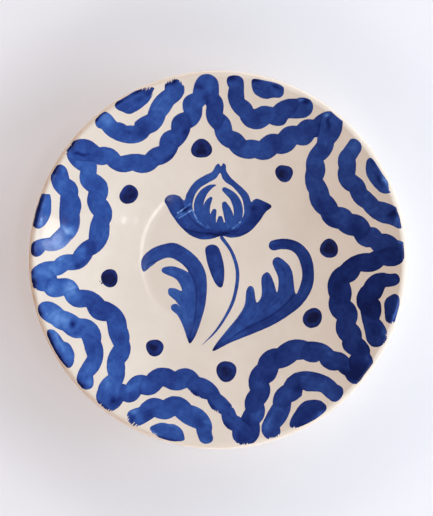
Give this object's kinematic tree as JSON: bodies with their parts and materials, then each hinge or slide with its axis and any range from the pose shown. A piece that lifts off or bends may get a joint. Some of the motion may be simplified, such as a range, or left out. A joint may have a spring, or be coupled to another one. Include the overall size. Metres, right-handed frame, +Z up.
{
  "type": "painted ceramic plate",
  "caption": "Round shallow ceramic plate on a foot ring, cream glaze with blue brush-painted scalloped arches, dots, a tulip and two leaves.",
  "frame": {"origin": "centre of the foot ring, on the surface that the plate rests on", "axes": "+Z up along the plate's axis, out of its face; +Y towards the tip of the painted tulip; +X to the right when the tulip is upright"},
  "size_m": [0.27, 0.27, 0.0382],
  "materials": {
    "clay": "bare fired clay, fine and matt",
    "glaze": "glossy warm cream glaze with a few pinholes and specks",
    "colour": "cobalt blue brushed on in dabs and fired glossy, cloudy and streaked",
    "dot_colour": "cobalt blue laid on thick, near black in the middle, fired glossy"
  },
  "bodies": {
    "root": {"clay_body": "clay", "glaze_coat": "glaze", "base_glaze": "glaze", "big_arch_1": "colour", "big_arch_2": "colour", "big_arch_3": "colour", "big_arch_4": "colour", "big_arch_5": "colour", "big_arch_6": "colour", "big_arch_7": "colour", "big_arch_8": "colour", "inner_arch_1": "colour", "inner_arch_2": "colour", "inner_arch_3": "colour", "inner_arch_4": "colour", "inner_arch_5": "colour", "inner_arch_6": "colour", "inner_arch_7": "colour", "inner_arch_8": "colour", "rim_petal_1": "colour", "rim_petal_2": "colour", "rim_petal_3": "colour", "rim_petal_4": "colour", "rim_petal_5": "colour", "rim_petal_6": "colour", "rim_petal_7": "colour", "rim_petal_8": "colour", "dot_1": "dot_colour", "dot_2": "dot_colour", "dot_3": "dot_colour", "dot_4": "dot_colour", "dot_5": "dot_colour", "dot_6": "dot_colour", "dot_7": "dot_colour", "dot_8": "dot_colour", "tulip_cup": "colour", "tulip_heart": "colour", "bud": "colour", "stem": "colour", "left_leaf": "colour", "right_leaf": "colour"}
  },
  "joints": []
}
